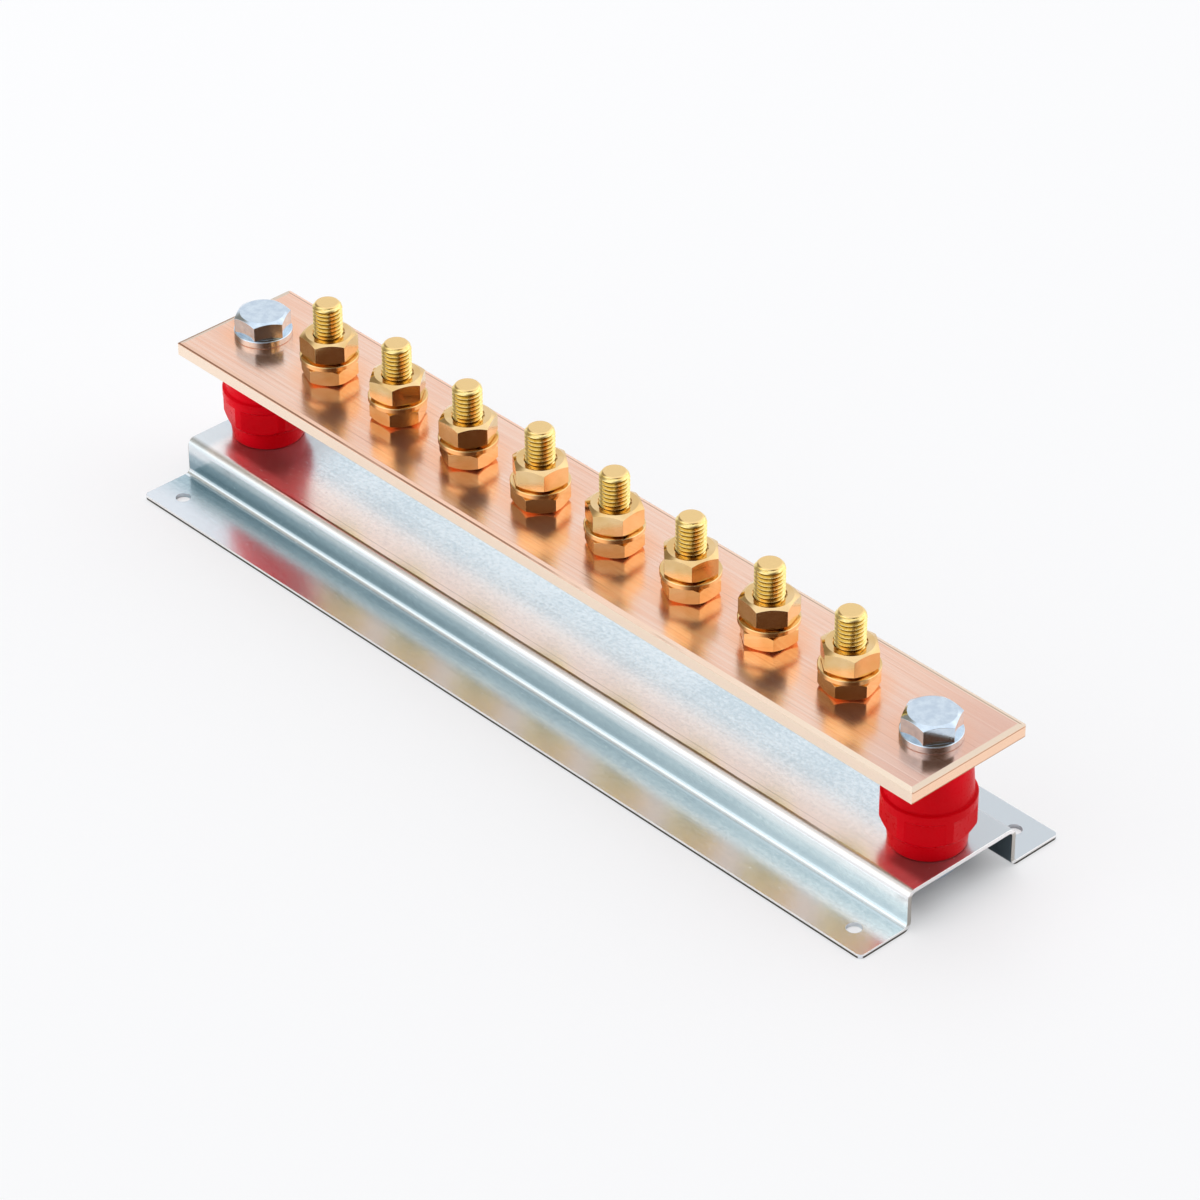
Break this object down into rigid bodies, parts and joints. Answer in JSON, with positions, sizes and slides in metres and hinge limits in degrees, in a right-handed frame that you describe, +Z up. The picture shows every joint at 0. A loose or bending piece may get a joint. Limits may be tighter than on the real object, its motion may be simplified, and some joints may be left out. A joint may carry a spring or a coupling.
{
  "type": "grounding busbar",
  "caption": "Copper earth bar with brass bolt terminals on red standoff insulators above a folded zinc-plated base channel with flange holes.",
  "frame": {"origin": "centre of the base on the mounting surface", "axes": "+X along the bar, +Y across it, +Z up through the terminals"},
  "size_m": [0.347, 0.088, 0.0825],
  "materials": {
    "zinc_sheet": "bright bluish zinc plating on folded sheet steel, slightly soft reflections",
    "copper": "polished bare copper with fine marks along the bar",
    "brass": "bright turned brass",
    "zinc_steel": "bright bluish zinc plating on forged steel",
    "red_plastic": "semi-gloss moulded red plastic"
  },
  "bodies": {
    "root": {"bar_bolt_left": "zinc_steel", "bar_bolt_right": "zinc_steel", "bar_washer_left": "zinc_steel", "bar_washer_right": "zinc_steel", "base_channel": "zinc_sheet", "base_screw_left": "zinc_steel", "base_screw_right": "zinc_steel", "base_washer_left": "zinc_steel", "base_washer_right": "zinc_steel", "bolt_head_washer_1": "brass", "bolt_head_washer_2": "brass", "bolt_head_washer_3": "brass", "bolt_head_washer_4": "brass", "bolt_head_washer_5": "brass", "bolt_head_washer_6": "brass", "bolt_head_washer_7": "brass", "bolt_head_washer_8": "brass", "clamp_nut_1": "brass", "clamp_nut_2": "brass", "clamp_nut_3": "brass", "clamp_nut_4": "brass", "clamp_nut_5": "brass", "clamp_nut_6": "brass", "clamp_nut_7": "brass", "clamp_nut_8": "brass", "copper_bar": "copper", "insulator_left": "red_plastic", "insulator_left_bottom_bush": "brass", "insulator_left_top_bush": "brass", "insulator_right": "red_plastic", "insulator_right_bottom_bush": "brass", "insulator_right_top_bush": "brass", "terminal_bolt_1": "brass", "terminal_bolt_2": "brass", "terminal_bolt_3": "brass", "terminal_bolt_4": "brass", "terminal_bolt_5": "brass", "terminal_bolt_6": "brass", "terminal_bolt_7": "brass", "terminal_bolt_8": "brass", "terminal_nut_1": "brass", "terminal_nut_2": "brass", "terminal_nut_3": "brass", "terminal_nut_4": "brass", "terminal_nut_5": "brass", "terminal_nut_6": "brass", "terminal_nut_7": "brass", "terminal_nut_8": "brass", "terminal_washer_1": "brass", "terminal_washer_2": "brass", "terminal_washer_3": "brass", "terminal_washer_4": "brass", "terminal_washer_5": "brass", "terminal_washer_6": "brass", "terminal_washer_7": "brass", "terminal_washer_8": "brass"}
  },
  "joints": []
}
